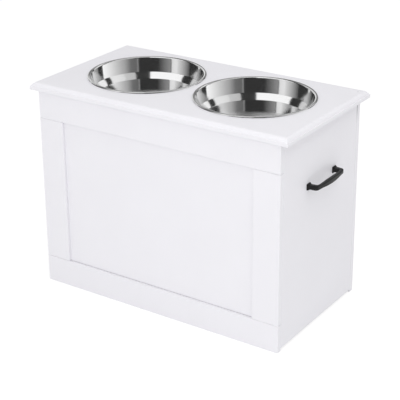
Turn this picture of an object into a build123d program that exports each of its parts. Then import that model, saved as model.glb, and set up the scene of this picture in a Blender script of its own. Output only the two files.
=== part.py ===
from build123d import *
import os

os.makedirs("parts", exist_ok=True)

# A raised feeder for a large dog. A storage cabinet of painted board stands on its front and
# back panels. Its hinged lid holds two stepped steel bowls that lift out, and a pull handle is
# screwed to each side. +Z is up, the front faces -Y, and the origin is on the ground under the
# middle of the lid. All lengths are in millimetres.

# ---- Cabinet ---------------------------------------------------------------------------------
cabinet_width = 560.0
cabinet_depth = 305.0
cabinet_height = 422.0
frame_thickness = 12.0
side_thickness = 12.0
back_thickness = 12.0
floor_thickness = 9.0
ground_clearance = 5.5      # the side panels stop this far above the ground
floor_rise = 12.0           # from the side panels' lower edges to the floor's underside
floor_tongue = 5.0          # how deep the floor reaches into its grooves
board_arris = 0.6           # softened edges of the painted boards

# ---- Front frame -----------------------------------------------------------------------------
frame_member = 57.5         # width of the rails and stiles
frame_joint = 0.3           # hairline between the ends of the stiles and the rails
panel_recess = 6.0          # from the frame's face back to the panel's face
panel_thickness = 4.0
panel_tongue = 7.5          # how deep the panel reaches into its grooves

# ---- Lid -------------------------------------------------------------------------------------
lid_thickness = 15.0
lid_overhang_side = 17.0
lid_overhang_front = 6.5
lid_overhang_back = 8.0
lid_lip = 8.0               # height of the straight lip along the moulded edges
lid_step = 2.0              # flat step between the lip and the round above it
lid_round = 6.5             # width of the shallow round up to the top face
lid_round_radius = 12.0
lid_arris = 0.8             # softened edges of the lip
lid_gap = 0.3               # air between the closed lid and the cabinet

# ---- Bowls -----------------------------------------------------------------------------------
bowl_rim_diameter = 242.0
bowl_spacing = 256.0        # between the two bowls' axes
bowl_setback = 6.5          # from the lid's middle to the bowls' axes, towards the back
bowl_sheet = 0.8
rim_roll = 2.6              # outer radius of the rolled rim
wall_draft = 3.7            # how much the upper wall narrows down to the ledge
ledge_depth = 29.0          # from the lid's face down to the top of the ledge
ledge_width = 9.5
ledge_drop = 13.0
lower_draft = 3.5           # how much the lower wall narrows down to the bottom
bowl_depth = 79.0           # from the lid's face down to the inside of the bottom
ledge_bend = 2.5
ledge_bands = 3             # straight bands that make up each bend
bottom_bend = 13.0
bottom_bands = 6
rim_bands = 6
hole_clearance = 1.0        # between the bowl's neck and the hole in the lid
rim_gap = 0.3               # air under the rolled rim

# ---- Handles ---------------------------------------------------------------------------------
handle_height = 306.5       # the handle's middle above the ground
handle_hole_spacing = 100.0
handle_standoff = 25.5      # from the side panel to the middle of the bow's outer face
handle_shoulder = 20.5      # the same at the bow's two ends
handle_bar_end = 5.0        # the bow's thickness at its ends
handle_bar_middle = 8.5
handle_leg_length = 10.0    # the leg's size along the side panel
handle_leg_width = 9.6      # the handle's upright width at the legs
handle_neck_width = 8.0     # the same where the bow leaves the legs
handle_belly_width = 10.8   # the same in the middle of the bow
handle_neck = 34.0          # from the middle to the narrowest place
handle_neck_round = 40.0
handle_leg_lean = 1.5       # how far each leg leans inwards
handle_corner = 7.0
handle_inner_corner = 3.5
handle_round = 2.2
foot_length = 14.0
foot_width = 13.0
foot_plate = 1.2            # straight edge of the flared foot
foot_flare = 4.5            # height over which the foot narrows to the leg

# ---- Hinges ----------------------------------------------------------------------------------
hinge_inset = 100.0         # from the cabinet's side to the hinge's middle
hinge_length = 50.0
hinge_leaf = 11.5           # from the pin's axis to the leaf's long edge
leaf_thickness = 1.0
leaf_gap = 0.2              # between the folded leaves
pin_diameter = 2.5
barrel_wall = 1.0
knuckles = 5
knuckle_gap = 0.15
barrel_clearance = 0.25     # between the barrel and the boards
mortise_clearance = 0.2     # around the leaf in its recess
pin_fit = 0.05              # radial, between the pin and the knuckles

# ---- Fasteners -------------------------------------------------------------------------------
fit_clearance = 0.1         # radial, around dowels, cams and bolts
dowel_diameter = 6.0
dowel_length = 28.0
dowel_chamfer = 0.8
end_gap = 0.5               # air past the end of a dowel, bolt, screw or tongue
dowel_blind = 9.0           # depth of a dowel or bolt hole in the face of a board
frame_dowel_pitch = 28.0    # between the two dowels in each frame corner
corner_cam_inset = 30.0     # from a rail's edge to the cam's axis, in the upright corners
corner_dowel_inset = 90.0   # the same for the dowel
cam_diameter = 12.0
cam_height = 9.2
cam_reach = 24.0            # from the joint to the cam's axis
cam_cross = 7.0             # length of the screwdriver cross
cam_cross_width = 1.4       # also its depth
bolt_thread = 5.0           # diameter of the threaded end
bolt_collar = 7.0
bolt_collar_length = 1.5
bolt_shank = 3.6
bolt_head = 5.2
bolt_head_length = 2.4
handle_screw = 4.0
handle_screw_bite = 10.0    # length of thread inside the handle's leg
handle_screw_head = 8.0
handle_screw_head_height = 2.6
handle_screw_chamfer = 0.9
handle_screw_slot = 1.1     # width and depth of the driver cross
hinge_screw = 2.5
hinge_screw_head = 4.4
hinge_screw_length = 12.0
hinge_screw_slot = 0.6      # width and depth of the driver cross
hinge_screw_pitch = 32.0    # between the two screws of a leaf
screw_fit = 0.05            # radial, around every screw

# ---- Worked out from the sizes above ---------------------------------------------------------
lid_width = cabinet_width + 2 * lid_overhang_side
lid_depth = cabinet_depth + lid_overhang_front + lid_overhang_back
front_face = -lid_depth / 2 + lid_overhang_front
back_face = lid_depth / 2 - lid_overhang_back
frame_back = front_face + frame_thickness
back_inside = back_face - back_thickness
side_outside = cabinet_width / 2
side_inside = side_outside - side_thickness
side_middle = (side_outside + side_inside) / 2
back_middle = (back_face + back_inside) / 2
stile_inside = side_outside - frame_member
rail_bottom = cabinet_height - frame_member
floor_underside = ground_clearance + floor_rise
panel_front = front_face + panel_recess
lid_underside = cabinet_height + lid_gap
lid_top = lid_underside + lid_thickness
bowl_radius = bowl_rim_diameter / 2
neck_radius = bowl_radius - 2 * rim_roll + bowl_sheet     # outside of the bowl's neck
hole_radius = neck_radius + hole_clearance
barrel_radius = pin_diameter / 2 + pin_fit + barrel_wall
hinge_y = back_face + barrel_radius + barrel_clearance
hinge_z = cabinet_height + lid_gap / 2
hinge_middle = side_outside - hinge_inset
sides = {"left": -1, "right": 1}


def block(x_range, y_range, z_range, mode=Mode.ADD):
    """A box between two values along each axis."""
    with BuildSketch(Plane.XY.offset(z_range[0])) as outline:
        with Locations(((x_range[0] + x_range[1]) / 2, (y_range[0] + y_range[1]) / 2)):
            Rectangle(x_range[1] - x_range[0], y_range[1] - y_range[0])
    return extrude(outline.sketch, amount=z_range[1] - z_range[0], mode=mode)


def board(x_range, y_range, z_range):
    """A painted board: a box with softened edges."""
    box = block(x_range, y_range, z_range)
    chamfer(box.edges(), board_arris)


def drill(point, direction, diameter, depth):
    """A round hole from a point on a face, along a direction into the board."""
    with BuildSketch(Plane(point, z_dir=direction)) as outline:
        Circle(diameter / 2)
    extrude(outline.sketch, amount=depth, mode=Mode.SUBTRACT)


def turn(profile, place, direction):
    """A turned piece: a half outline of (radius, height) points spun about a line."""
    base = Plane(place, z_dir=direction)
    with BuildSketch(Plane(place, x_dir=base.x_dir, z_dir=-base.y_dir)) as half:
        with BuildLine():
            Polyline(*profile, close=True)
        make_face()
    revolve(half.sketch, axis=Axis(place, direction))


def cross(plane, length, width):
    """A driver cross as deep as its slots are wide, sunk into a face along the plane's normal."""
    with BuildSketch(plane) as slots:
        Rectangle(length, width)
        Rectangle(width, length)
    extrude(slots.sketch, amount=width, mode=Mode.SUBTRACT)


def across(side, start, stop):
    """A range along X on one side of the middle, in rising order."""
    return sorted((side * start, side * stop))


def finish(part, name):
    """Label a finished sub-part and write it."""
    part.label = name
    export_step(part, f"parts/{name}.step")


# ---- Where the hidden fasteners go -----------------------------------------------------------
# Upright corners: each is (joint plane, direction along Y from that plane into the side panel).
upright_joints = ((frame_back, 1), (back_inside, -1))
corner_cams = (frame_member + corner_cam_inset, rail_bottom - corner_cam_inset)
corner_dowels = (frame_member + corner_dowel_inset, rail_bottom - corner_dowel_inset)
stile_middle = side_outside - frame_member / 2
frame_dowel_x = [
    side * (stile_middle + shift)
    for side in sides.values()
    for shift in (-frame_dowel_pitch / 2, frame_dowel_pitch / 2)
]
frame_middle = front_face + frame_thickness / 2
dowel_hole = dowel_diameter + 2 * fit_clearance
bolt_hole = bolt_collar + 2 * fit_clearance
thread_hole = bolt_thread + 2 * fit_clearance
cam_hole = cam_diameter + 2 * fit_clearance


def drill_joint_faces(joint, direction, side):
    """Blind holes for dowels and cam bolts in the board that covers a side panel's edge."""
    for height in corner_dowels:
        drill((side * side_middle, joint, height), (0, -direction, 0), dowel_hole, dowel_blind)
    for height in corner_cams:
        drill((side * side_middle, joint, height), (0, -direction, 0), thread_hole, dowel_blind)


# ---- Front frame -----------------------------------------------------------------------------
panel_groove_y = (panel_front - fit_clearance, panel_front + panel_thickness + fit_clearance)
panel_groove_depth = panel_tongue + end_gap
groove_end = stile_inside + panel_groove_depth
floor_groove_z = (floor_underside - fit_clearance, floor_underside + floor_thickness + fit_clearance)
floor_groove_depth = floor_tongue + end_gap
dowel_half_hole = dowel_length / 2 + end_gap

with BuildPart() as front_bottom_rail:
    board((-side_outside, side_outside), (front_face, frame_back), (0, frame_member))
    block((-groove_end, groove_end), panel_groove_y,
          (frame_member - panel_groove_depth, frame_member), Mode.SUBTRACT)
    block((-side_inside - floor_groove_depth, side_inside + floor_groove_depth),
          (frame_back - floor_groove_depth, frame_back), floor_groove_z, Mode.SUBTRACT)
    for x in frame_dowel_x:
        drill((x, frame_middle, frame_member), (0, 0, -1), dowel_hole, dowel_half_hole)
finish(front_bottom_rail.part, "front_bottom_rail")

with BuildPart() as front_top_rail:
    board((-side_outside, side_outside), (front_face, frame_back), (rail_bottom, cabinet_height))
    block((-groove_end, groove_end), panel_groove_y,
          (rail_bottom, rail_bottom + panel_groove_depth), Mode.SUBTRACT)
    for x in frame_dowel_x:
        drill((x, frame_middle, rail_bottom), (0, 0, 1), dowel_hole, dowel_half_hole)
finish(front_top_rail.part, "front_top_rail")


def make_stile(name, side):
    """An upright of the front frame, between the two rails."""
    with BuildPart() as stile:
        board(across(side, stile_inside, side_outside), (front_face, frame_back),
              (frame_member + frame_joint, rail_bottom - frame_joint))
        block(across(side, stile_inside, groove_end), panel_groove_y,
              (frame_member, rail_bottom), Mode.SUBTRACT)
        for x in frame_dowel_x:
            if x * side > 0:
                drill((x, frame_middle, frame_member), (0, 0, 1), dowel_hole, dowel_half_hole)
                drill((x, frame_middle, rail_bottom), (0, 0, -1), dowel_hole, dowel_half_hole)
        drill_joint_faces(frame_back, 1, side)
    finish(stile.part, name)


for side_name, side in sides.items():
    make_stile(f"front_stile_{side_name}", side)

with BuildPart() as front_panel:
    block((-stile_inside - panel_tongue, stile_inside + panel_tongue),
          (panel_front, panel_front + panel_thickness),
          (frame_member - panel_tongue, rail_bottom + panel_tongue))
finish(front_panel.part, "front_panel")


# ---- Side panels -----------------------------------------------------------------------------
def make_side_panel(name, side):
    """A side of the cabinet, with the holes for its fasteners and its handle."""
    inner_face = side * side_inside
    with BuildPart() as panel:
        board(across(side, side_inside, side_outside), (frame_back, back_inside),
              (ground_clearance, cabinet_height))
        block(across(side, side_inside, side_inside + floor_groove_depth),
              (frame_back, back_inside), floor_groove_z, Mode.SUBTRACT)
        for joint, direction in upright_joints:
            for height in corner_dowels:
                drill((side * side_middle, joint, height), (0, direction, 0), dowel_hole,
                      dowel_length - dowel_blind + 2 * end_gap)
            for height in corner_cams:
                drill((side * side_middle, joint, height), (0, direction, 0), bolt_hole, cam_reach)
                drill((inner_face, joint + direction * cam_reach, height), (side, 0, 0),
                      cam_hole, cam_height + fit_clearance)
        for y in (-handle_hole_spacing / 2, handle_hole_spacing / 2):
            drill((inner_face, y, handle_height), (side, 0, 0),
                  handle_screw + 2 * screw_fit, side_thickness)
    finish(panel.part, name)


for side_name, side in sides.items():
    make_side_panel(f"side_panel_{side_name}", side)

# ---- Floor -----------------------------------------------------------------------------------
with BuildPart() as floor_board:
    block((-side_inside - floor_tongue, side_inside + floor_tongue),
          (frame_back - floor_tongue, back_inside + floor_tongue),
          (floor_underside, floor_underside + floor_thickness))
finish(floor_board.part, "floor_board")

# ---- Back panel ------------------------------------------------------------------------------
leaf_reach = leaf_thickness + leaf_gap / 2      # from the pin's axis to the leaf's outer face
mortise_half_length = hinge_length / 2 + mortise_clearance
leaf_edge = hinge_y - hinge_leaf
hinge_screw_y = back_middle
hinge_screw_x = [
    [side * hinge_middle + shift for shift in (-hinge_screw_pitch / 2, hinge_screw_pitch / 2)]
    for side in sides.values()
]

with BuildPart() as back_panel:
    board((-side_outside, side_outside), (back_inside, back_face), (0, cabinet_height))
    block((-side_inside - floor_groove_depth, side_inside + floor_groove_depth),
          (back_inside, back_inside + floor_groove_depth), floor_groove_z, Mode.SUBTRACT)
    for side in sides.values():
        drill_joint_faces(back_inside, -1, side)
        middle = side * hinge_middle
        block((middle - mortise_half_length, middle + mortise_half_length),
              (leaf_edge - mortise_clearance, back_face),
              (hinge_z - leaf_reach, cabinet_height), Mode.SUBTRACT)
    for pair in hinge_screw_x:
        for x in pair:
            drill((x, hinge_screw_y, hinge_z - leaf_reach), (0, 0, -1),
                  hinge_screw + 2 * screw_fit, hinge_screw_length)
finish(back_panel.part, "back_panel")

# ---- Lid -------------------------------------------------------------------------------------
bowl_places = {"left": (-bowl_spacing / 2, bowl_setback), "right": (bowl_spacing / 2, bowl_setback)}
barrel_recess = barrel_radius + barrel_clearance


def moulded_section(plane, half):
    """The lid's section across one direction: straight lips, steps and rounds up to the top."""
    lip_top = lid_underside + lid_lip
    round_foot = half - lid_step
    flat_edge = round_foot - lid_round
    lip = [
        (round_foot, lip_top),
        (half - lid_arris, lip_top),
        (half, lip_top - lid_arris),
        (half, lid_underside + lid_arris),
        (half - lid_arris, lid_underside),
    ]
    with BuildSketch(plane) as section:
        with BuildLine():
            Polyline(*lip, *[(-x, z) for x, z in reversed(lip)])
            RadiusArc((-round_foot, lip_top), (-flat_edge, lid_top), lid_round_radius)
            Line((-flat_edge, lid_top), (flat_edge, lid_top))
            RadiusArc((flat_edge, lid_top), (round_foot, lip_top), lid_round_radius)
        make_face()
    return section.sketch


with BuildPart() as lid_board:
    extrude(moulded_section(Plane.XZ, lid_width / 2), amount=lid_depth / 2, both=True)
    extrude(moulded_section(Plane.YZ, lid_depth / 2), amount=lid_width / 2, both=True,
            mode=Mode.INTERSECT)
    with BuildSketch(Plane.XY.offset(lid_underside)):
        with Locations(*bowl_places.values()):
            Circle(hole_radius)
    extrude(amount=lid_thickness, mode=Mode.SUBTRACT)
    for side in sides.values():
        middle = side * hinge_middle
        x_range = (middle - mortise_half_length, middle + mortise_half_length)
        block(x_range, (leaf_edge - mortise_clearance, lid_depth / 2),
              (lid_underside, hinge_z + leaf_reach), Mode.SUBTRACT)
        block(x_range, (hinge_y - barrel_recess, lid_depth / 2),
              (lid_underside, hinge_z + barrel_recess), Mode.SUBTRACT)
    for pair in hinge_screw_x:
        for x in pair:
            drill((x, hinge_screw_y, hinge_z + leaf_reach), (0, 0, 1),
                  hinge_screw + 2 * screw_fit, hinge_screw_length)
finish(lid_board.part, "lid_board")


# ---- Bowls -----------------------------------------------------------------------------------
def bend(before, corner, after, radius, bands):
    """The points that round one corner of an outline with a few straight bands."""
    with BuildLine() as line:
        Polyline(before, corner, after)
        fillet(line.vertices().sort_by_distance(Vector(*corner))[0], radius)
    arc = line.edges().filter_by(GeomType.CIRCLE)[0]
    return [tuple(arc @ (step / bands))[:2] for step in range(bands + 1)]


def make_bowl(name, place):
    """A stepped bowl of thin sheet whose rolled rim hangs on the lid."""
    ledge_outer = neck_radius - wall_draft
    ledge_inner = ledge_outer - ledge_width
    mouth = rim_gap + 2 * bowl_sheet
    neck = (neck_radius, rim_gap)
    ledge_top = (ledge_outer, -ledge_depth)
    ledge_bottom = (ledge_inner, -ledge_depth - ledge_drop)
    heel = (ledge_inner - lower_draft, -bowl_depth - bowl_sheet)
    bottom = (0, -bowl_depth - bowl_sheet)
    half_wall = [
        (neck_radius, mouth),
        neck,
        *bend(neck, ledge_top, ledge_bottom, ledge_bend, ledge_bands),
        *bend(ledge_top, ledge_bottom, heel, ledge_bend, ledge_bands),
        *bend(ledge_bottom, heel, bottom, bottom_bend, bottom_bands),
    ]
    section_plane = Plane((*place, lid_top), x_dir=(1, 0, 0), z_dir=(0, -1, 0))
    with BuildPart() as bowl:
        with BuildSketch(section_plane):
            with BuildLine():
                Polyline(*half_wall, *[(-x, y) for x, y in reversed(half_wall)], close=True)
            make_face()
            offset(amount=-bowl_sheet, kind=Kind.INTERSECTION, mode=Mode.SUBTRACT)
            with Locations((0, mouth)):
                Rectangle(2 * bowl_radius, 2 * (mouth - rim_gap), mode=Mode.SUBTRACT)
            with Locations((-bowl_radius, 0)):
                Rectangle(2 * bowl_radius, 4 * bowl_depth, mode=Mode.SUBTRACT)
        with BuildSketch(section_plane):
            with Locations((bowl_radius - rim_roll, rim_gap)):
                RegularPolygon(rim_roll, 2 * rim_bands)
                RegularPolygon(rim_roll - bowl_sheet, 2 * rim_bands, mode=Mode.SUBTRACT)
            with Locations((bowl_radius, rim_gap - rim_roll)):
                Rectangle(4 * rim_roll, 2 * rim_roll, mode=Mode.SUBTRACT)
        revolve(axis=Axis((*place, 0), (0, 0, 1)))
    finish(bowl.part, name)


for side_name, place in bowl_places.items():
    make_bowl(f"bowl_{side_name}", place)


# ---- Handles ---------------------------------------------------------------------------------
def make_handle(name, side):
    """A cast bow handle: two flared feet, two legs and a bowed bar that is thickest in the middle."""
    root = (side * side_outside, 0, handle_height)
    outward = (side, 0, 0)
    leg_outer = (handle_hole_spacing + handle_leg_length) / 2
    leg_inner = (handle_hole_spacing - handle_leg_length) / 2
    lean_inner = leg_inner - handle_leg_lean
    shoulder_inner = handle_shoulder - handle_bar_end
    middle_inner = handle_standoff - handle_bar_middle
    with BuildPart() as handle:
        with BuildSketch(Plane(root, x_dir=(0, 1, 0), z_dir=(0, 0, -side))) as bow:
            with BuildLine():
                Line((-leg_inner, 0), (-leg_outer, 0))
                Line((-leg_outer, 0), (-leg_outer + handle_leg_lean, handle_shoulder))
                ThreePointArc((-leg_outer + handle_leg_lean, handle_shoulder),
                              (0, handle_standoff),
                              (leg_outer - handle_leg_lean, handle_shoulder))
                Line((leg_outer - handle_leg_lean, handle_shoulder), (leg_outer, 0))
                Line((leg_outer, 0), (leg_inner, 0))
                Line((leg_inner, 0), (lean_inner, shoulder_inner))
                ThreePointArc((lean_inner, shoulder_inner), (0, middle_inner),
                              (-lean_inner, shoulder_inner))
                Line((-lean_inner, shoulder_inner), (-leg_inner, 0))
            make_face()
            levels = bow.vertices().group_by(Axis.Y)
            fillet(levels[1], handle_inner_corner)
            levels = bow.vertices().group_by(Axis.Y)
            fillet(levels[-1], handle_corner)
        extrude(amount=handle_belly_width, both=True)
        with BuildSketch(Plane(root, x_dir=(0, 1, 0), z_dir=outward)) as outline:
            with BuildLine():
                for half in (0.5, -0.5):
                    leg_edge = half * handle_leg_width
                    neck_edge = half * handle_neck_width
                    Line((-leg_outer, leg_edge), (-handle_neck, neck_edge))
                    ThreePointArc((-handle_neck, neck_edge), (0, half * handle_belly_width),
                                  (handle_neck, neck_edge))
                    Line((handle_neck, neck_edge), (leg_outer, leg_edge))
                for y in (-leg_outer, leg_outer):
                    Line((y, -handle_leg_width / 2), (y, handle_leg_width / 2))
            make_face()
            necks = outline.vertices().sort_by(lambda corner: abs(corner.X))[:4]
            fillet(necks, handle_neck_round)
        extrude(amount=handle_standoff, mode=Mode.INTERSECT)
        leg_ends = handle.faces().sort_by(Axis.X, reverse=side < 0)[:2]
        fillet(handle.edges() - leg_ends.edges(), handle_round)
        for y in (-handle_hole_spacing / 2, handle_hole_spacing / 2):
            with BuildSketch(Plane((side * side_outside, y, handle_height), x_dir=(0, 1, 0),
                                   z_dir=outward)) as foot:
                Rectangle(foot_length, foot_width)
                fillet(foot.vertices(), handle_round)
            extrude(amount=foot_plate)
            with BuildSketch(Plane((side * (side_outside + foot_plate), y, handle_height),
                                   x_dir=(0, 1, 0), z_dir=outward)) as flare_start:
                Rectangle(foot_length, foot_width)
                fillet(flare_start.vertices(), handle_round)
            with BuildSketch(Plane((side * (side_outside + foot_flare), y, handle_height),
                                   x_dir=(0, 1, 0), z_dir=outward)) as flare_end:
                Rectangle(handle_leg_length, handle_leg_width)
                fillet(flare_end.vertices(), handle_round)
            loft()
            drill((side * side_outside, y, handle_height), outward,
                  handle_screw + 2 * screw_fit, handle_screw_bite + end_gap)
    finish(handle.part, name)


for side_name, side in sides.items():
    make_handle(f"handle_{side_name}", side)


# ---- Screws, dowels, cams and bolts ----------------------------------------------------------
def make_handle_screws(name, side):
    """Two pan-head screws from inside the cabinet into one handle's legs."""
    radius = handle_screw / 2
    head_radius = handle_screw_head / 2
    head_top = -handle_screw_head_height
    with BuildPart() as screws:
        for y in (-handle_hole_spacing / 2, handle_hole_spacing / 2):
            seat = (side * side_inside, y, handle_height)
            turn([(0, head_top), (head_radius - handle_screw_chamfer, head_top),
                  (head_radius, head_top + handle_screw_chamfer), (head_radius, 0), (radius, 0),
                  (radius, side_thickness + handle_screw_bite),
                  (0, side_thickness + handle_screw_bite)], seat, (side, 0, 0))
            cross_plane = Plane(seat, z_dir=(side, 0, 0)).offset(head_top)
            cross(cross_plane, head_radius, handle_screw_slot)
    finish(screws.part, name)


for side_name, side in sides.items():
    make_handle_screws(f"handle_screws_{side_name}", side)

dowel_profile = [
    (0, -dowel_length / 2),
    (dowel_diameter / 2 - dowel_chamfer, -dowel_length / 2),
    (dowel_diameter / 2, dowel_chamfer - dowel_length / 2),
    (dowel_diameter / 2, dowel_length / 2 - dowel_chamfer),
    (dowel_diameter / 2 - dowel_chamfer, dowel_length / 2),
    (0, dowel_length / 2),
]
with BuildPart() as frame_dowels:
    for x in frame_dowel_x:
        for height in (frame_member, rail_bottom):
            turn(dowel_profile, (x, frame_middle, height), (0, 0, 1))
finish(frame_dowels.part, "frame_dowels")

corner_dowel_shift = dowel_length / 2 - dowel_blind + end_gap
with BuildPart() as corner_dowel_set:
    for side in sides.values():
        for joint, direction in upright_joints:
            for height in corner_dowels:
                middle = (side * side_middle, joint + direction * corner_dowel_shift, height)
                turn(dowel_profile, middle, (0, direction, 0))
finish(corner_dowel_set.part, "corner_dowels")

bolt_profile = [
    (0, end_gap - dowel_blind),
    (bolt_thread / 2, end_gap - dowel_blind),
    (bolt_thread / 2, 0),
    (bolt_collar / 2, 0),
    (bolt_collar / 2, bolt_collar_length),
    (bolt_shank / 2, bolt_collar_length),
    (bolt_shank / 2, cam_reach - bolt_head_length / 2),
    (bolt_head / 2, cam_reach - bolt_head_length / 2),
    (bolt_head / 2, cam_reach + bolt_head_length / 2),
    (0, cam_reach + bolt_head_length / 2),
]
with BuildPart() as cam_bolts:
    for side in sides.values():
        for joint, direction in upright_joints:
            for height in corner_cams:
                turn(bolt_profile, (side * side_middle, joint, height), (0, direction, 0))
finish(cam_bolts.part, "cam_bolts")

with BuildPart() as cam_locks:
    for side in sides.values():
        for joint, direction in upright_joints:
            for height in corner_cams:
                centre = (side * side_inside, joint + direction * cam_reach, height)
                face = Plane(centre, x_dir=(0, direction, 0), z_dir=(side, 0, 0))
                with BuildSketch(face):
                    Circle(cam_diameter / 2)
                extrude(amount=cam_height)
                cross(face, cam_cross, cam_cross_width)
                bolt_line = Plane((side * side_middle, centre[1], height),
                                  z_dir=(0, -direction, 0))
                with BuildSketch(bolt_line):
                    Circle(bolt_shank / 2 + fit_clearance)
                extrude(amount=cam_diameter, mode=Mode.SUBTRACT)
                with BuildSketch(bolt_line):
                    Circle(bolt_head / 2 + fit_clearance)
                extrude(amount=bolt_head_length / 2 + fit_clearance, both=True, mode=Mode.SUBTRACT)
finish(cam_locks.part, "cam_locks")


# ---- Hinges ----------------------------------------------------------------------------------
knuckle_length = (hinge_length - (knuckles - 1) * knuckle_gap) / knuckles
leaf_clearance = barrel_radius + knuckle_gap


def make_leaf(name, middle, first_knuckle, up):
    """One leaf of a butt hinge: a plate, its share of the knuckles and two countersunk holes."""
    plate = sorted((hinge_z + up * leaf_gap / 2, hinge_z + up * leaf_reach))
    x_start = middle - hinge_length / 2
    with BuildPart() as leaf:
        block((x_start, x_start + hinge_length), (leaf_edge, hinge_y - leaf_clearance), plate)
        for index in range(first_knuckle, knuckles, 2):
            x = x_start + index * (knuckle_length + knuckle_gap)
            block((x, x + knuckle_length), (hinge_y - leaf_clearance, hinge_y), plate)
            with BuildSketch(Plane((x, hinge_y, hinge_z), z_dir=(1, 0, 0))) as ring:
                Circle(barrel_radius)
            extrude(ring.sketch, amount=knuckle_length)
        with BuildSketch(Plane((x_start, hinge_y, hinge_z), z_dir=(1, 0, 0))) as bore:
            Circle(pin_diameter / 2 + pin_fit)
        extrude(bore.sketch, amount=hinge_length, mode=Mode.SUBTRACT)
        for shift in (-hinge_screw_pitch / 2, hinge_screw_pitch / 2):
            head = (middle + shift, hinge_screw_y, hinge_z + up * leaf_gap / 2)
            with Locations(Plane(head, z_dir=(0, 0, -up))):
                CounterSinkHole(hinge_screw / 2 + screw_fit, hinge_screw_head / 2 + screw_fit,
                                depth=leaf_thickness, counter_sink_angle=90)
    finish(leaf.part, name)


def make_hinge_screws(name, up):
    """The countersunk screws of both hinges into the back panel or into the lid."""
    shank = hinge_screw / 2
    head = hinge_screw_head / 2
    with BuildPart() as screws:
        for pair in hinge_screw_x:
            for x in pair:
                top = (x, hinge_screw_y, hinge_z + up * leaf_gap / 2)
                turn([(0, 0), (head, 0), (shank, head - shank),
                      (shank, hinge_screw_length - 2 * shank), (0, hinge_screw_length)],
                     top, (0, 0, up))
                cross(Plane(top, z_dir=(0, 0, up)), hinge_screw, hinge_screw_slot)
    finish(screws.part, name)


for side_name, side in sides.items():
    middle = side * hinge_middle
    make_leaf(f"hinge_leaf_cabinet_{side_name}", middle, 0, -1)
    make_leaf(f"hinge_leaf_lid_{side_name}", middle, 1, 1)
    with BuildPart() as pin:
        with BuildSketch(Plane((middle - hinge_length / 2, hinge_y, hinge_z), z_dir=(1, 0, 0))):
            Circle(pin_diameter / 2)
        extrude(amount=hinge_length)
    finish(pin.part, f"hinge_pin_{side_name}")
make_hinge_screws("hinge_screws_cabinet", -1)
make_hinge_screws("hinge_screws_lid", 1)
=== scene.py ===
from math import cos, pi, radians, sin

import bpy
import numpy as np
from mathutils import Matrix, Vector


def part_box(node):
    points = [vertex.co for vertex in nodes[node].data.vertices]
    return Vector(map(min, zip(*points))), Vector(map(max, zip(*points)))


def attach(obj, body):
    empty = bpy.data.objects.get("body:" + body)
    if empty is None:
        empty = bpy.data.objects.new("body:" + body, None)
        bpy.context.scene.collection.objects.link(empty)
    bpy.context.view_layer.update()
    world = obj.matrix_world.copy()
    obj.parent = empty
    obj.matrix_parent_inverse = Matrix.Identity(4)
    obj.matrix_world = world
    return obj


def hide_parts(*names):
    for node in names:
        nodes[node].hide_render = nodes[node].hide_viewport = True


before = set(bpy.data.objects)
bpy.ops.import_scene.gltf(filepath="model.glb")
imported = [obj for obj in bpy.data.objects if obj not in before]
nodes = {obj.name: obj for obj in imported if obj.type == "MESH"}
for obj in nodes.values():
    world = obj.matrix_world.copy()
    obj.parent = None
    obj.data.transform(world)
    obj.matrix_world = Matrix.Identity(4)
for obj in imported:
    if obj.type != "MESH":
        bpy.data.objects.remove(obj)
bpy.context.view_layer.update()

# A raised feeder of white painted board with two polished steel bowls in its hinged lid and a
# black pull handle on each side. Lengths are in metres, +Z is up and the front faces -Y.

# ---- Camera ----------------------------------------------------------------------------------
view_azimuth = radians(34.07)
view_elevation = radians(21.95)
view_roll = radians(-0.50)
view_distance = 2.4554
view_aim = Vector((0.0040, 0.0, 0.2819))
sensor_width = 36.0
lens_length = 109.79
frame_shift = -0.1


def make_camera():
    """A camera at a distance from the point it aims at, rolled a little about its own axis."""
    back = Vector((
        sin(view_azimuth) * cos(view_elevation),
        -cos(view_azimuth) * cos(view_elevation),
        sin(view_elevation),
    ))
    level = (-back).cross(Vector((0.0, 0.0, 1.0))).normalized()
    upright = level.cross(-back)
    right = cos(view_roll) * level + sin(view_roll) * upright
    up = cos(view_roll) * upright - sin(view_roll) * level
    data = bpy.data.cameras.new("camera")
    data.sensor_width = sensor_width
    data.lens = lens_length
    data.shift_y = frame_shift
    data.clip_start = 0.05
    data.clip_end = 50.0
    camera = bpy.data.objects.new("camera", data)
    turn = Matrix((right, up, back)).transposed().to_4x4()
    camera.matrix_world = Matrix.Translation(view_aim + back * view_distance) @ turn
    bpy.context.scene.collection.objects.link(camera)
    bpy.context.scene.camera = camera


make_camera()


# ---- Shader building -------------------------------------------------------------------------
class Value:
    """A shader socket. Arithmetic on it adds Math nodes to its node tree."""

    def __init__(self, tree, socket):
        self.tree = tree
        self.socket = socket

    def math(self, operation, first, second):
        return self.tree.node("ShaderNodeMath", {"operation": operation}, {0: first, 1: second})

    def __add__(self, other):
        return self.math("ADD", self, other)

    def __radd__(self, other):
        return self.math("ADD", other, self)

    def __sub__(self, other):
        return self.math("SUBTRACT", self, other)

    def __rsub__(self, other):
        return self.math("SUBTRACT", other, self)

    def __mul__(self, other):
        return self.math("MULTIPLY", self, other)

    def __rmul__(self, other):
        return self.math("MULTIPLY", other, self)

    def __truediv__(self, other):
        return self.math("DIVIDE", self, other)


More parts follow.
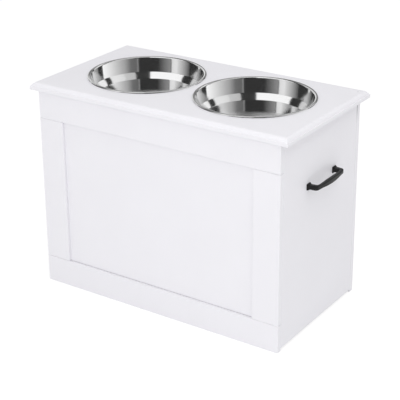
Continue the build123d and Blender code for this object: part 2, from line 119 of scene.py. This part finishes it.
class Nodes:
    """A node tree that values and other nodes are added to."""

    def __init__(self, owner):
        owner.use_nodes = True
        self.tree = owner.node_tree
        self.tree.nodes.clear()

    def node(self, kind, settings=None, inputs=None, output=0):
        """Adds a node of a type with its settings, joins or sets its inputs, gives one output."""
        made = self.tree.nodes.new(kind)
        for name, setting in (settings or {}).items():
            if name == "stops":
                ramp = made.color_ramp
                while len(ramp.elements) < len(setting):
                    ramp.elements.new(1.0)
                for element, (place, colour) in zip(ramp.elements, setting):
                    element.position = place
                    element.color = (*colour, 1.0)
            else:
                setattr(made, name, setting)
        for name, value in (inputs or {}).items():
            if isinstance(value, Value):
                self.tree.links.new(value.socket, made.inputs[name])
            else:
                made.inputs[name].default_value = value
        return Value(self, made.outputs[output]) if len(made.outputs) else None

    def step(self, value, start, stop):
        """A smooth step from 0 at the start to 1 at the stop, which may lie either way round."""
        return self.node("ShaderNodeMapRange", {"interpolation_type": "SMOOTHSTEP"},
                         {"Value": value, "From Min": start, "From Max": stop})

    def root(self, value):
        """The square root of a value."""
        return self.node("ShaderNodeMath", {"operation": "SQRT"}, {0: value})


class Finish(Nodes):
    """A material of one principled shader whose constant values are set on its own sockets."""

    def __init__(self, name, **constants):
        self.material = bpy.data.materials.new(name)
        super().__init__(self.material)
        self.place = self.node("ShaderNodeTexCoord", output="Object")
        surface = self.node("ShaderNodeBsdfPrincipled", inputs={
            socket.replace("_", " "): value for socket, value in constants.items()
        })
        self.shader = surface.socket.node
        self.node("ShaderNodeOutputMaterial", inputs={"Surface": surface})

    def set(self, socket, value):
        """Joins a varying value to one of the shader's sockets."""
        self.tree.links.new(value.socket, self.shader.inputs[socket])

    def stretch(self, scale, vector=None):
        """Coordinates multiplied by a scale along each axis."""
        return self.node("ShaderNodeMapping", {"vector_type": "POINT"},
                         {"Vector": vector or self.place, "Scale": scale})

    def noise(self, scale, detail=2.0, vector=None):
        """Soft noise from 0 to 1, its scale in features to a metre."""
        return self.node("ShaderNodeTexNoise", {"noise_dimensions": "3D"},
                         {"Vector": vector or self.place, "Scale": scale, "Detail": detail})

    def ramp(self, value, *stops):
        """A value run through a colour ramp."""
        return self.node("ShaderNodeValToRGB", {"stops": stops}, {"Fac": value})

    def blend(self, mask, low, high):
        """A colour between two colours."""
        colours = [c if isinstance(c, Value) else (*c, 1.0) for c in (low, high)]
        return self.node("ShaderNodeMix", {"data_type": "RGBA"},
                         {0: mask, 6: colours[0], 7: colours[1]}, output=2)

    def leaning_normal(self, lean):
        """The surface's normal, leant towards the object's own Z on its upright faces."""
        normal = self.node("ShaderNodeNewGeometry", output="Normal")
        axis = self.node("ShaderNodeVectorTransform", {
            "vector_type": "VECTOR", "convert_from": "OBJECT", "convert_to": "WORLD",
        }, {"Vector": (0.0, 0.0, 1.0)})
        rise = self.node("ShaderNodeVectorMath", {"operation": "DOT_PRODUCT"},
                         {0: normal, 1: axis}, output="Value")
        steep = self.node("ShaderNodeMath", {"operation": "ABSOLUTE"}, {0: rise})
        upright = self.node("ShaderNodeMath", {"operation": "MAXIMUM"},
                            {0: 1.0 - steep * 2.0, 1: 0.0})
        push = self.node("ShaderNodeVectorMath", {"operation": "SCALE"},
                         {0: axis, "Scale": upright * lean})
        sum_of_both = self.node("ShaderNodeVectorMath", {"operation": "ADD"}, {0: normal, 1: push})
        return self.node("ShaderNodeVectorMath", {"operation": "NORMALIZE"}, {0: sum_of_both})

    def relief(self, height, distance, strength=1.0, normal=None):
        """Bump from a height of 0 to 1, whose full depth is a distance in metres."""
        inputs = {"Height": height, "Distance": distance, "Strength": strength}
        if normal:
            inputs["Normal"] = normal
        self.set("Normal", self.node("ShaderNodeBump", {}, inputs))


# ---- Finishes --------------------------------------------------------------------------------
lid_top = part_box("lid_board")[1].z
panel_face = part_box("front_panel")[0].y
sill_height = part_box("front_bottom_rail")[1].z
back_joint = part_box("side_panel_right")[1].y
right_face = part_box("side_panel_right")[1].x

# Each pair is where a change of finish starts and where it ends.
drawn_bend = (0.062, 0.072)          # depth below the lid's face where the steel grows dull
bowl_flat = (0.0772, 0.0786)         # depth where the bowl's bottom is smooth again
bowl_underside = (0.0791, 0.0796)    # depth where its dull underside begins
# sill_shade places painted shade in the corner above the bottom rail.
sill_shade = (0.0003, 0.0013)        # distance from the corner above the bottom rail
# The next three pairs place painted shade along the open joint of the right side and the back.
joint_shade = (0.0006, 0.0018)       # distance from the joint of the right side and the back
joint_depth = (0.0004, 0.0008)       # distance from the right side's outer face
joint_opening = (0.368, 0.410)       # height over which that joint opens

# how dark the painted shade in the corner above the bottom rail is
sill_shade_strength = 0.45
# the grey of the painted shade in that corner and along the open joint
shade_colour = (0.25, 0.25, 0.26)
steel_roughness = 0.10
dull_roughness = 0.30
wall_lean = 0.40


def painted_board():
    """Satin white paint: faint clouds in the coat and the fine ripple that a spray gun leaves.

    Painted shade greys the coat in the corner where the front panel stands behind the bottom rail,
    and darkens it where the joint of the right side and the back opens a little towards the lid.
    """
    paint = Finish("painted_board", Specular_IOR_Level=0.45)
    clouds = paint.noise(9.0, 3.0)
    speckle = paint.noise(420.0, 1.0)
    ripple = paint.noise(900.0, 2.0)
    x, y, z = (paint.node("ShaderNodeSeparateXYZ", {}, {0: paint.place}, output=k)
               for k in range(3))
    inwards, upwards, behind = y - panel_face, z - sill_height, y - back_joint
    # painted shade: a thin grey line in the corner above the bottom rail
    sill_shade_mask = 1.0 - paint.step(paint.root(inwards * inwards + upwards * upwards), *sill_shade)
    beside = x - right_face
    # painted shade: a dark line where the joint of the right side and the back opens near the lid
    open_joint_shade = ((1.0 - paint.step(paint.root(behind * behind), *joint_shade))
                  * (1.0 - paint.step(paint.root(beside * beside), *joint_depth))
                  * paint.step(z, *joint_opening))
    # both painted shade lines together
    shade = 1.0 - (1.0 - sill_shade_mask * sill_shade_strength) * (1.0 - open_joint_shade)
    coat = paint.blend(clouds * 0.8 + speckle * 0.2,
                       (0.808, 0.800, 0.836), (0.853, 0.845, 0.882))
    paint.set("Base Color", paint.blend(shade, coat, shade_colour))
    paint.set("Roughness", 0.40 + clouds * 0.10 + speckle * 0.05)
    paint.relief(ripple * 0.7 + clouds * 0.3, 0.00006)
    return paint.material


def polished_steel():
    """Mirror-polished sheet with the faint rings and cloudy haze that spinning leaves in it.

    The normals of the upright walls lean towards the bowl's own Z, which throws their reflections
    upwards, and the flats and ledges keep theirs. The last bend and the underside are duller.
    """
    steel = Finish("polished_steel", Metallic=1.0, Anisotropic=0.5, Anisotropic_Rotation=0.25)
    around = steel.node("ShaderNodeAttribute", {"attribute_name": "turned"}, output="Vector")
    rings = steel.noise(1.0, 3.0, steel.stretch((0.8, 0.8, 1700.0), around))
    wide_rings = steel.noise(1.0, 2.0, steel.stretch((0.5, 0.5, 260.0), around))
    haze = steel.noise(38.0, 3.0)
    steel.set("Base Color", steel.blend(rings * 0.6 + haze * 0.4,
                                        (0.700, 0.700, 0.702), (0.790, 0.790, 0.792)))
    drop = lid_top - steel.node("ShaderNodeSeparateXYZ", {}, {0: steel.place}, output=2)
    drawn, flat, underside = (
        steel.step(drop, *depths) for depths in (drawn_bend, bowl_flat, bowl_underside)
    )
    dull = drawn - flat * 0.75 + underside * 0.75
    steel.set("Roughness", steel_roughness + rings * 0.02 + haze * 0.02 + dull * dull_roughness)
    steel.relief(rings * 0.35 + wide_rings * 0.65, 0.0000004,
                 normal=steel.leaning_normal(wall_lean))
    return steel.material


def black_metal():
    """Black powder coat over metal: a fine pebbled skin, a little duller in places."""
    coat = Finish("black_metal", Specular_IOR_Level=0.3)
    pebble = coat.noise(1500.0, 2.0)
    cloud = coat.noise(45.0, 3.0)
    coat.set("Base Color", coat.blend(cloud, (0.0040, 0.0040, 0.0044), (0.0090, 0.0088, 0.0092)))
    coat.set("Roughness", 0.34 + cloud * 0.14 + pebble * 0.08)
    coat.relief(pebble * 0.6 + cloud * 0.4, 0.00008)
    return coat.material


def plated_steel(name, low, high, roughness):
    """Plated metal with fine drawn lines along X and clouds in the plating."""
    plate = Finish(name, Metallic=1.0)
    lines = plate.noise(1.0, 2.0, plate.stretch((60.0, 2600.0, 2600.0)))
    cloud = plate.noise(120.0, 3.0)
    plate.set("Base Color", plate.blend(cloud * 0.7 + lines * 0.3, low, high))
    plate.set("Roughness", roughness + cloud * 0.12 + lines * 0.08)
    plate.relief(lines, 0.00002)
    return plate.material


def dowel_wood():
    """Beech with short dark flecks along its grain."""
    wood = Finish("dowel_wood", Specular_IOR_Level=0.3)
    grain = wood.noise(1.0, 4.0, wood.stretch((900.0, 900.0, 60.0)))
    fleck = wood.ramp(wood.noise(1.0, 1.0, wood.stretch((1800.0, 1800.0, 240.0))),
                      (0.60, (0.0, 0.0, 0.0)), (0.72, (1.0, 1.0, 1.0)))
    pale = wood.blend(grain, (0.50, 0.31, 0.16), (0.68, 0.48, 0.28))
    wood.set("Base Color", wood.blend(fleck * 0.6, pale, (0.33, 0.18, 0.08)))
    wood.set("Roughness", 0.55 + grain * 0.20)
    wood.relief(grain, 0.00008)
    return wood.material


finishes = {
    "painted_board": painted_board(),
    "polished_steel": polished_steel(),
    "black_metal": black_metal(),
    "hinge_steel": plated_steel("hinge_steel", (0.53, 0.52, 0.50), (0.66, 0.65, 0.63), 0.22),
    "zinc_steel": plated_steel("zinc_steel", (0.56, 0.58, 0.60), (0.70, 0.71, 0.72), 0.26),
    "cam_zinc": plated_steel("cam_zinc", (0.42, 0.42, 0.42), (0.55, 0.55, 0.54), 0.42),
    "dowel_wood": dowel_wood(),
}


def dress_nodes():
    """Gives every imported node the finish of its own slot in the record."""
    for name, piece in nodes.items():
        for place in piece.material_slots:
            slot_name = place.material.name.split(".")[0]
            place.material = finishes[slot_name]


dress_nodes()


# ---- Turned surfaces -------------------------------------------------------------------------
def corner_arc(before, corner, after, radius, steps):
    """Rounds a corner of a profile: points at even angles on the circle that touches both runs."""
    before, corner, after = (np.array(p, dtype=float) for p in (before, corner, after))
    first = (before - corner) / np.linalg.norm(before - corner)
    second = (after - corner) / np.linalg.norm(after - corner)
    half = np.arccos(first @ second) / 2
    middle = (first + second) / np.linalg.norm(first + second)
    centre = corner + middle * radius / sin(half)
    start = corner + first * radius / np.tan(half) - centre
    stop = corner + second * radius / np.tan(half) - centre
    turn = np.arctan2(start[0] * stop[1] - start[1] * stop[0], start @ stop)
    angles = np.arctan2(start[1], start[0]) + turn * np.linspace(0.0, 1.0, steps)
    return centre + radius * np.column_stack([np.cos(angles), np.sin(angles)])


def circle_arc(centre, radius, start, stop, steps):
    """Points at even angles, in degrees, on a circle."""
    angles = np.radians(np.linspace(start, stop, steps))
    return np.array(centre) + radius * np.column_stack([np.cos(angles), np.sin(angles)])


def mesh_piece(name, points, faces, body, slot_name, node_names, smooth=True):
    """A new piece from arrays of points and faces, riding a body in place of CAD nodes."""
    mesh = bpy.data.meshes.new(name)
    mesh.from_pydata(points.tolist(), [], faces)
    mesh.validate()
    mesh.polygons.foreach_set("use_smooth", np.full(len(mesh.polygons), smooth))
    mesh.materials.append(finishes[slot_name])
    piece = bpy.data.objects.new(name, mesh)
    bpy.context.scene.collection.objects.link(piece)
    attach(piece, body)
    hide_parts(*node_names)
    return piece


def turned_piece(name, profile, centre, turns, body, slot_name, node_names):
    """A closed profile of (radius, height) that starts and ends on the axis, spun about it.

    Point (i, j) is (radius_j * cos a_i, radius_j * sin a_i, height_j) about the centre, with the
    angles a_i even round the circle. Its attribute "turned" holds (cos a, sin a, length along the
    profile), for finishes that run round the piece.
    """
    ring = profile[1:-1]
    angles = 2 * pi * np.arange(turns) / turns
    spun = np.stack([
        centre[0] + np.outer(np.cos(angles), ring[:, 0]),
        centre[1] + np.outer(np.sin(angles), ring[:, 0]),
        np.broadcast_to(centre[2] + ring[:, 1], (turns, len(ring))),
    ], axis=-1).reshape(-1, 3)
    poles = np.array([[centre[0], centre[1], centre[2] + profile[k, 1]] for k in (0, -1)])
    points = np.vstack([spun, poles])
    rows = len(ring)
    here, along = np.meshgrid(np.arange(turns), np.arange(rows - 1), indexing="ij")
    after = (here + 1) % turns
    quads = np.stack([here * rows + along, after * rows + along,
                      after * rows + along + 1, here * rows + along + 1], axis=-1).reshape(-1, 4)
    i = np.arange(turns)
    j = (i + 1) % turns
    first_fan = np.stack([np.full(turns, len(spun)), j * rows, i * rows], axis=-1)
    last_fan = np.stack([np.full(turns, len(spun) + 1), i * rows + rows - 1,
                         j * rows + rows - 1], axis=-1)
    faces = quads.tolist() + first_fan.tolist() + last_fan.tolist()
    piece = mesh_piece(name, points, faces, body, slot_name, node_names)
    steps = np.linalg.norm(np.diff(profile, axis=0), axis=1)
    travelled = np.concatenate([[0.0], np.cumsum(steps)])
    turned = np.stack([
        np.repeat(np.cos(angles), rows), np.repeat(np.sin(angles), rows),
        np.tile(travelled[1:-1], turns),
    ], axis=-1)
    ends = np.array([[0.0, 0.0, travelled[0]], [0.0, 0.0, travelled[-1]]])
    attribute = piece.data.attributes.new("turned", "FLOAT_VECTOR", "POINT")
    attribute.data.foreach_set("vector", np.vstack([turned, ends]).astype(np.float32).ravel())
    return piece


# ---- Bowls -----------------------------------------------------------------------------------
bowl_sheet = 0.0008
bowl_setback = 0.0065       # from the lid's middle to the bowls' axes, towards the back
bowl_spacing = 0.2560       # between the two bowls' axes
rim_radius = 0.1210
rim_gap = 0.0003            # air between the rim and the lid
rim_roll = 0.0026           # radius on which the rim rolls down outside
rim_flare = 0.0042          # radius on which it flares into the wall
wall_slope = 5.9            # degrees that the upper wall leans inwards
wall_draft = 0.0045         # how much the upper wall narrows from the neck to the ledge
ledge_width = 0.0095
lower_draft = 0.0035        # how much the lower wall narrows from the ledge to the bottom
ledge_depth = 0.0290        # below the lid's face, to the top of the ledge
ledge_end = 0.0420          # the same to its lower end
bowl_depth = 0.0790         # the same to the inside of the bottom
ledge_bend = 0.0025
bottom_bend = 0.0100
longest_run = 0.006         # longest straight step along the section
bowl_turns = 160            # faces round the bowl


def bowl_profile():
    """Half of a stepped bowl's section: up the outside, over the rolled rim, down the inside.

    The rim rolls down outside on a tight circle and flares into the wall on a wider one.
    """
    roll_centre = (rim_radius - rim_roll, rim_gap)
    flare_centre = (roll_centre[0], rim_gap + rim_roll - rim_flare)
    neck = rim_radius - 2 * rim_roll
    ledge_top = (neck - wall_draft, -ledge_depth)
    ledge_foot = (ledge_top[0] - ledge_width, -ledge_end)
    bottom_edge = (ledge_foot[0] - lower_draft, -bowl_depth)
    inside = [ledge_top, ledge_foot, bottom_edge, (0.0, -bowl_depth)]
    outside = [
        (ledge_top[0] + bowl_sheet, ledge_top[1]),
        (ledge_foot[0] + bowl_sheet, ledge_foot[1]),
        (bottom_edge[0] + bowl_sheet, bottom_edge[1] - bowl_sheet),
        (0.0, -bowl_depth - bowl_sheet),
    ]
    wall_end = 180 - wall_slope
    under = [circle_arc(flare_centre, rim_flare - bowl_sheet, wall_end, 90, 14),
             circle_arc(roll_centre, rim_roll - bowl_sheet, 90, 0, 8)]
    over = [circle_arc(roll_centre, rim_roll, 0, 90, 12),
            circle_arc(flare_centre, rim_flare, 90, wall_end, 18)]
    outer_wall = [
        corner_arc(outside[3], outside[2], outside[1], bottom_bend, 12),
        corner_arc(outside[2], outside[1], outside[0], ledge_bend, 7),
        corner_arc(outside[1], outside[0], under[0][0], ledge_bend, 7),
    ]
    inner_wall = [
        corner_arc(over[1][-1], inside[0], inside[1], ledge_bend, 7),
        corner_arc(inside[0], inside[1], inside[2], ledge_bend, 7),
        corner_arc(inside[1], inside[2], inside[3], bottom_bend - bowl_sheet, 12),
    ]
    return np.vstack([[outside[3]], *outer_wall, *under, *over, *inner_wall, [inside[3]]])


def refined(profile, longest):
    """A profile with even extra points on each run that is longer than a given length."""
    pieces = [profile[:1]]
    for start, stop in zip(profile[:-1], profile[1:]):
        count = max(1, int(np.ceil(np.linalg.norm(stop - start) / longest)))
        pieces.append(start + (stop - start) * (np.arange(1, count + 1) / count)[:, None])
    return np.vstack(pieces)


def make_bowls():
    """The two turned bowls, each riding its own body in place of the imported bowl."""
    profile = refined(bowl_profile(), longest_run)
    for side, x in (("left", -bowl_spacing / 2), ("right", bowl_spacing / 2)):
        name = f"bowl_{side}"
        turned_piece(f"{name}_shell", profile, (x, bowl_setback, lid_top), bowl_turns, name,
                     "polished_steel", [name])


make_bowls()


# ---- Studio ----------------------------------------------------------------------------------
# What the steel reflects: panels of light round a dark room. Each is (first azimuth, last
# azimuth, lowest elevation, highest elevation, level at the first edge, level at the last edge).
# Azimuth 0 is in front of the feeder and 90 is to its right, in degrees. The rows of panels dip
# away from row_middle, by row_dip at a distance of row_reach.
light_panels = (
    (156, 170, -90, 39, 0.40, 0.60),
    (88, 140, -90, 39, 0.62, 1.60),
    (72, 88, -90, 39, 0.24, 0.66),
    (57, 72, -90, 39, 0.19, 0.24),
    (55.5, 57, -90, 39, 0.45, 0.45),
    (-16, 13, -90, 39, 0.42, 0.03),
    (-32, -19, -90, 39, 1.25, 1.20),
    (-63, -32, -90, 39, 0.12, 1.10),
    (-99, -92, -90, 39, 1.10, 1.00),
    (-170, -114, -90, 39, 1.20, 0.15),
    (147, 170, 43, 74, 1.40, 1.40),
    (98, 132, 43, 74, 1.15, 1.35),
    (69, 98, 43, 74, 0.80, 0.92),
    (-57, 27, 43, 74, 1.55, 1.55),
    (-170, -83, 43, 74, 1.25, 0.95),
    (-190, 190, 77, 98, 0.30, 0.30),
    (-190, 190, 102, 175, 0.70, 0.70),
    (-40, 108, 64, 100, 1.20, 1.20),
)
room_level = 0.045
row_middle = 34.0
row_reach = 126.0
row_dip = 30.0
azimuth_blur = 1.2
elevation_blur = 2.5
studio_light = 0.785        # even light on everything that isn't mirror-like
light_size = 1.4
light_aim = (0.0, 0.0, 0.25)
soft_lights = (
    ("front_light", (0.9, -2.0, 1.5), 6.2),
    ("low_light", (0.3, -2.4, 0.9), 7.5),
    ("upper_light", (1.0, -0.3, 2.4), 9.9),
    ("side_light", (2.3, -0.9, 1.0), 1.7),
)
floor_half = 6.0
matt_level = 0.85           # the floor for light that it throws back onto the feeder
faint_level = 0.30          # the part of the seen floor that takes a shadow
glow_level = 0.77           # the glow added to it, so that the seen floor is white


def between(sky, value, low, high, blur):
    """A mask that is 1 from low to high and fades to 0 over the blur outside each."""
    return sky.step(value, low - blur, low) * (1.0 - sky.step(value, high, high + blur))


def reflected_room(sky):
    """The brightness of the room along each direction, for mirror-like surfaces."""
    direction = sky.node("ShaderNodeTexCoord", output="Generated")
    x, y, z = (sky.node("ShaderNodeSeparateXYZ", {}, {0: direction}, output=k) for k in range(3))
    to_degrees = 180 / pi
    azimuth = sky.node("ShaderNodeMath", {"operation": "ARCTAN2"}, {0: x, 1: -1.0 * y}) * to_degrees
    elevation = sky.node("ShaderNodeMath", {"operation": "ARCSINE"}, {0: z}) * to_degrees
    from_middle = (azimuth - row_middle) / row_reach
    height = elevation + from_middle * from_middle * row_dip
    level = room_level
    for first, last, low, high, start, stop in light_panels:
        slope = sky.node("ShaderNodeMapRange", {}, {
            "Value": azimuth, "From Min": first, "From Max": last, "To Min": start, "To Max": stop})
        panel = slope * between(sky, azimuth, first, last, azimuth_blur) * between(
            sky, height, low, high, elevation_blur)
        level = sky.node("ShaderNodeMath", {"operation": "MAXIMUM"}, {0: panel, 1: level})
    return level


def either_ray(tree, *kinds):
    """A mask that is 1 for rays of any of the kinds and 0 for others."""
    others = 1.0
    for kind in kinds:
        others = (1.0 - tree.node("ShaderNodeLightPath", output=kind)) * others
    return 1.0 - others


def make_world():
    """White for the camera, the panels of light for steel, and even light for everything else."""
    world = bpy.data.worlds.new("studio")
    bpy.context.scene.world = world
    sky = Nodes(world)
    clear_ray = either_ray(sky, "Is Camera Ray", "Is Transmission Ray")
    glossy_ray = sky.node("ShaderNodeLightPath", output="Is Glossy Ray")
    even = sky.node("ShaderNodeBackground",
                    inputs={"Color": (1, 1, 1, 1), "Strength": studio_light})
    room = sky.node("ShaderNodeBackground", inputs={"Strength": reflected_room(sky)})
    white = sky.node("ShaderNodeBackground", inputs={"Color": (1, 1, 1, 1), "Strength": 1.0})
    lit = sky.node("ShaderNodeMixShader", inputs={0: glossy_ray, 1: even, 2: room})
    seen = sky.node("ShaderNodeMixShader", inputs={0: clear_ray, 1: lit, 2: white})
    sky.node("ShaderNodeOutputWorld", inputs={"Surface": seen})


def soft_light(name, place, power):
    """A square area light at a place, turned towards the middle of the feeder."""
    data = bpy.data.lights.new(name, "AREA")
    data.size = light_size
    data.energy = power
    light = bpy.data.objects.new(name, data)
    light.location = place
    towards = Vector(light_aim) - Vector(place)
    light.rotation_euler = towards.to_track_quat("-Z", "Y").to_euler()
    light.visible_glossy = False
    bpy.context.scene.collection.objects.link(light)


def grey(level):
    """An opaque grey of a level."""
    return (level, level, level, 1.0)


def make_floor():
    """A pale floor. The camera sees it as white with the feeder's soft shadow on it."""
    signs = ((-1, -1), (1, -1), (1, 1), (-1, 1))
    mesh = bpy.data.meshes.new("floor")
    mesh.from_pydata([(x * floor_half, y * floor_half, 0) for x, y in signs], [], [(0, 1, 2, 3)])
    floor = bpy.data.objects.new("floor", mesh)
    bpy.context.scene.collection.objects.link(floor)
    material = bpy.data.materials.new("floor")
    ground = Nodes(material)
    rays = either_ray(ground, "Is Camera Ray", "Is Glossy Ray", "Is Transmission Ray")
    matt = ground.node("ShaderNodeBsdfDiffuse", inputs={"Color": grey(matt_level)})
    faint = ground.node("ShaderNodeBsdfDiffuse", inputs={"Color": grey(faint_level)})
    glow = ground.node("ShaderNodeEmission", inputs={"Color": grey(glow_level)})
    bright = ground.node("ShaderNodeAddShader", inputs={0: faint, 1: glow})
    mixed = ground.node("ShaderNodeMixShader", inputs={0: rays, 1: matt, 2: bright})
    ground.node("ShaderNodeOutputMaterial", inputs={"Surface": mixed})
    mesh.materials.append(material)


bpy.context.scene.view_settings.view_transform = "Standard"
make_world()
for name, place, power in soft_lights:
    soft_light(name, place, power)
make_floor()
